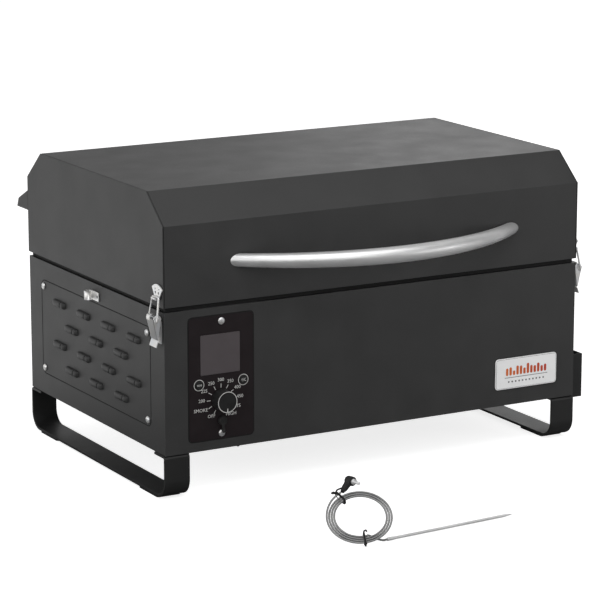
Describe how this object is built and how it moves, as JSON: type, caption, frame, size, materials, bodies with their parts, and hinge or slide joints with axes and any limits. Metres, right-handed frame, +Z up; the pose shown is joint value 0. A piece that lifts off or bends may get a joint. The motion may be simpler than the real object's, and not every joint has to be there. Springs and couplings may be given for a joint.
{
  "type": "pellet smoker grill",
  "caption": "Tabletop pellet smoker grill: hinged lid with a bowed handle and draw latches over a fire box with hopper, auger and grate, on U-shaped bar legs.",
  "frame": {"origin": "bottom centre of the bounding box of the grill with its meat probe lying in front, on the ground plane", "axes": "+X to the right when facing the control panel, +Y to the back, +Z up"},
  "size_m": [0.5976, 0.6592, 0.3524],
  "materials": {
    "shell": "satin dark grey powder coat",
    "black_metal": "satin black powder coat",
    "gloss_panel": "gloss black printed overlay",
    "display": "smoked display window",
    "rubber": "matte black rubber",
    "stainless": "polished stainless steel",
    "zinc": "bright zinc plate",
    "galvanised": "galvanised sheet",
    "enamel": "porcelain enamel",
    "plastic": "fine-textured moulded plastic",
    "badge": null,
    "braid": "braided steel sleeve"
  },
  "bodies": {
    "fire_box": {"body_shell": "shell", "rim_gasket": "rubber", "hinge_body_leaf": "black_metal", "hinge_pin": "zinc", "latch_base_left": "zinc", "latch_base_right": "zinc", "louvered_side_panel": "shell", "side_panel_screw_1": "zinc", "side_panel_screw_2": "zinc", "side_panel_screw_3": "zinc", "side_panel_screw_4": "zinc", "cable_clip": "zinc", "front_badge": "badge", "control_panel": "gloss_panel", "display_window": "display", "probe_socket": "black_metal", "socket_cap": "rubber", "control_screw_1": "zinc", "control_screw_2": "zinc", "leg_left": "black_metal", "leg_right": "black_metal", "foot_pad_front_left": "rubber", "foot_pad_rear_left": "rubber", "foot_pad_front_right": "rubber", "foot_pad_rear_right": "rubber", "pellet_hopper": "galvanised", "partition_wall": "galvanised", "auger_tube": "galvanised", "auger_motor": "zinc", "fan_housing": "plastic", "firepot": "stainless", "igniter_rod": "stainless", "heat_baffle": "galvanised", "temperature_sensor": "stainless", "power_inlet": "plastic"},
    "lid": {"lid_shell": "shell", "rear_vent_hood": "shell", "lid_handle": "stainless", "handle_bolt_left": "zinc", "handle_bolt_right": "zinc", "hinge_lid_leaf": "black_metal", "latch_keeper_left": "zinc", "latch_keeper_right": "zinc"},
    "left_lever": {"latch_lever_left": "zinc"},
    "left_bail": {"latch_bail_left": "zinc"},
    "right_lever": {"latch_lever_right": "zinc"},
    "right_bail": {"latch_bail_right": "zinc"},
    "knob": {"temperature_knob": "plastic"},
    "probe_key": {"probe_button": "plastic"},
    "units_key": {"units_button": "plastic"},
    "auger": {"auger_screw": "stainless"},
    "fan": {"fan_impeller": "plastic"},
    "grease_box": {"grease_drawer": "black_metal"},
    "grate": {"cooking_grate": "enamel"},
    "tray": {"drip_tray": "galvanised"},
    "meat_probe": {"probe_needle": "stainless", "probe_cable": "braid", "probe_plug": "rubber", "cable_tie_front": "rubber", "cable_tie_rear": "rubber"}
  },
  "joints": [
    {"name": "lid_hinge", "type": "hinge", "parent": "fire_box", "child": "lid", "pos_m": [-0.0074, 0.30213, 0.2227], "axis": [-1, 0, 0], "range_deg": [0, 95]},
    {"name": "left_latch_lever", "type": "hinge", "parent": "fire_box", "child": "left_lever", "pos_m": [-0.293, -0.05687, 0.213], "axis": [0, 1, 0], "range_deg": [0, 140]},
    {"name": "left_latch_bail", "type": "hinge", "parent": "left_lever", "child": "left_bail", "pos_m": [-0.2948, -0.05687, 0.20988], "axis": [0, 1, 0], "range_deg": [-145, 0]},
    {"name": "right_latch_lever", "type": "hinge", "parent": "fire_box", "child": "right_lever", "pos_m": [0.2782, -0.05687, 0.213], "axis": [0, -1, 0], "range_deg": [0, 140]},
    {"name": "right_latch_bail", "type": "hinge", "parent": "right_lever", "child": "right_bail", "pos_m": [0.28, -0.05687, 0.20988], "axis": [0, -1, 0], "range_deg": [-145, 0]},
    {"name": "knob_turn", "type": "hinge", "parent": "fire_box", "child": "knob", "pos_m": [-0.2153, -0.07567, 0.1122], "axis": [0, 1, 0], "range_deg": [0, 330]},
    {"name": "probe_button_press", "type": "slide", "parent": "fire_box", "child": "probe_key", "axis": [0, 1, 0], "range_m": [0, 0.001]},
    {"name": "units_button_press", "type": "slide", "parent": "fire_box", "child": "units_key", "axis": [0, 1, 0], "range_m": [0, 0.001]},
    {"name": "auger_spin", "type": "hinge", "parent": "fire_box", "child": "auger", "pos_m": [-0.1024, 0.14433, 0.085], "axis": [1, 0, 0], "continuous": true},
    {"name": "fan_spin", "type": "hinge", "parent": "fire_box", "child": "fan", "pos_m": [-0.1694, 0.03933, 0.1], "axis": [1, 0, 0], "continuous": true},
    {"name": "grease_drawer_slide", "type": "slide", "parent": "fire_box", "child": "grease_box", "axis": [1, 0, 0], "range_m": [0, 0.085]},
    {"name": "grate_lift", "type": "slide", "parent": "fire_box", "child": "grate", "axis": [0, 0, 1], "range_m": [0, 0.11]},
    {"name": "drip_tray_lift", "type": "slide", "parent": "fire_box", "child": "tray", "axis": [0, 0, 1], "range_m": [0, 0.02]},
    {"name": "meat_probe_lift", "type": "slide", "parent": "fire_box", "child": "meat_probe", "axis": [0, 0, 1], "range_m": [0, 0.15]}
  ],
  "couplings": [
    {"joint": "left_latch_bail", "follows": "left_latch_lever", "ratio": -1.03},
    {"joint": "right_latch_bail", "follows": "right_latch_lever", "ratio": -1.03}
  ]
}
